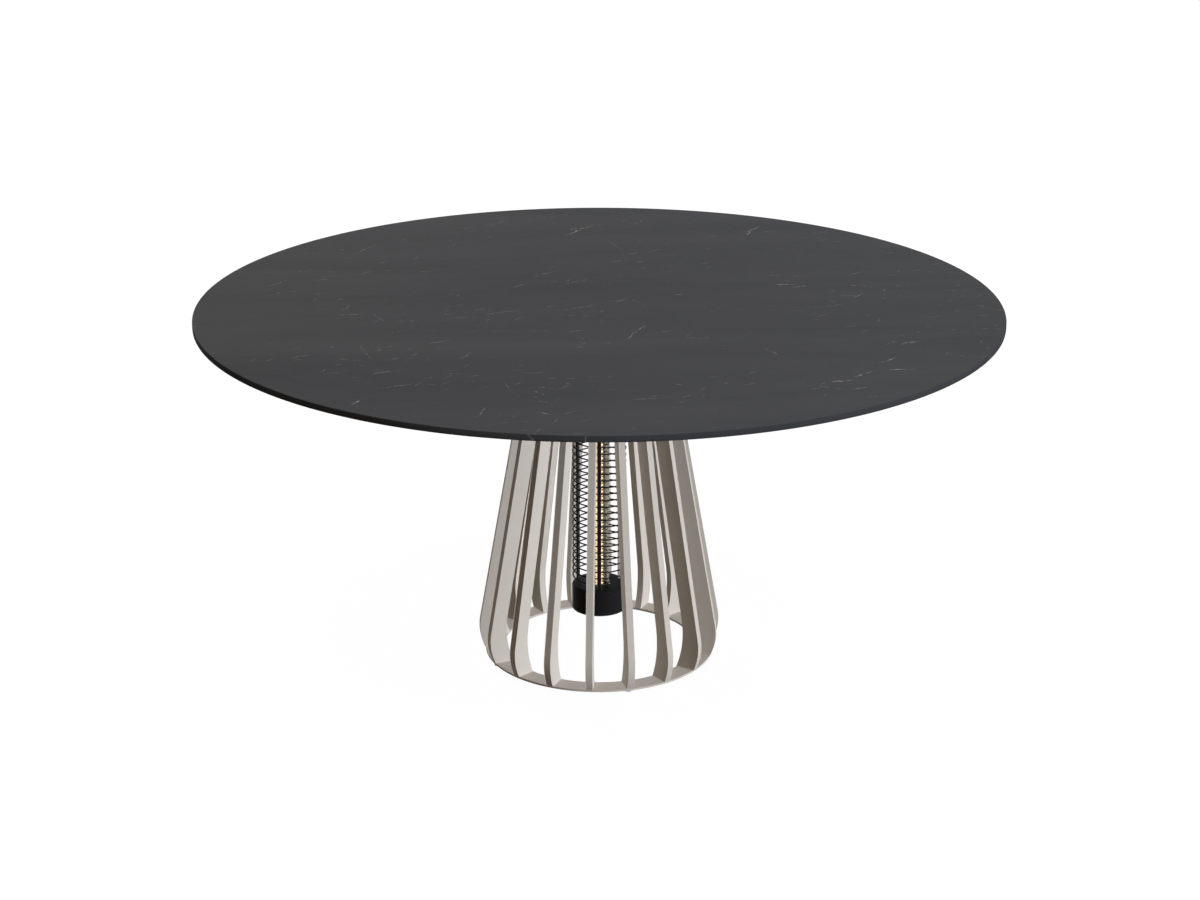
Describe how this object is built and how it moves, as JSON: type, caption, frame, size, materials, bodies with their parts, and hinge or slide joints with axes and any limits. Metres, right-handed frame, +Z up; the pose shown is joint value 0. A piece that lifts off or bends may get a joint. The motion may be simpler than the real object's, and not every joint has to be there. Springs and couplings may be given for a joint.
{
  "type": "heated round dining table",
  "caption": "Round stone-topped dining table on a flared cage of curved radial fins, with a guarded electric radiant heater hanging on the axis of the base.",
  "frame": {"origin": "on the floor, at the centre of the round base, under the centre of the top", "axes": "+Z up, -Y towards the viewer of the picture, +X to that viewer's right"},
  "size_m": [1.5998, 1.5998, 0.74],
  "materials": {
    "stone_top": "honed charcoal stone with sparse thin broken grey-white veins",
    "silicone_pad": "soft translucent grey",
    "cage_coat": "matt greige powder coat",
    "black_coat": "satin black heat-proof coat",
    "zinc_steel": "zinc plated",
    "nylon_foot": "pale nylon",
    "quartz": "clear quartz",
    "glowing_element": "white-hot heating core",
    "white_ceramic": "unglazed steatite",
    "black_plastic": "moulded black",
    "lead_sleeve": "glass fibre sleeve"
  },
  "bodies": {
    "table": {"tabletop": "stone_top", "slab_pads": "silicone_pad", "crown_plate": "cage_coat", "floor_ring": "cage_coat", "fin_01": "cage_coat", "fin_02": "cage_coat", "fin_03": "cage_coat", "fin_04": "cage_coat", "fin_05": "cage_coat", "fin_06": "cage_coat", "fin_07": "cage_coat", "fin_08": "cage_coat", "fin_09": "cage_coat", "fin_10": "cage_coat", "fin_11": "cage_coat", "fin_12": "cage_coat", "fin_13": "cage_coat", "fin_14": "cage_coat", "fin_15": "cage_coat", "fin_16": "cage_coat", "fin_17": "cage_coat", "fin_18": "cage_coat", "support_disc": "black_coat", "heater_flange": "black_coat", "heater_top_housing": "black_coat", "upper_lid": "black_coat", "bottom_cup": "black_coat", "bottom_lid": "black_coat", "guard_bar_1": "black_coat", "guard_bar_2": "black_coat", "guard_bar_3": "black_coat", "guard_wire": "black_coat", "flange_bolts": "zinc_steel", "lamp_bracket_lower": "zinc_steel", "lamp_bracket_upper": "zinc_steel", "quartz_tube": "quartz", "heating_element": "glowing_element", "lamp_cap_lower": "white_ceramic", "lamp_cap_upper": "white_ceramic", "terminal_block": "white_ceramic", "thermal_cutout": "black_plastic", "cable_gland": "black_plastic", "return_lead": "lead_sleeve", "supply_lead": "lead_sleeve"},
    "foot_1": {"foot_pad_1": "nylon_foot", "foot_stud_1": "zinc_steel"},
    "foot_2": {"foot_pad_2": "nylon_foot", "foot_stud_2": "zinc_steel"},
    "foot_3": {"foot_pad_3": "nylon_foot", "foot_stud_3": "zinc_steel"},
    "foot_4": {"foot_pad_4": "nylon_foot", "foot_stud_4": "zinc_steel"}
  },
  "joints": [
    {"name": "foot_1_level", "type": "slide", "parent": "table", "child": "foot_1", "axis": [0, 0, -1], "range_m": [0, 0.008]},
    {"name": "foot_2_level", "type": "slide", "parent": "table", "child": "foot_2", "axis": [0, 0, -1], "range_m": [0, 0.008]},
    {"name": "foot_3_level", "type": "slide", "parent": "table", "child": "foot_3", "axis": [0, 0, -1], "range_m": [0, 0.008]},
    {"name": "foot_4_level", "type": "slide", "parent": "table", "child": "foot_4", "axis": [0, 0, -1], "range_m": [0, 0.008]}
  ]
}
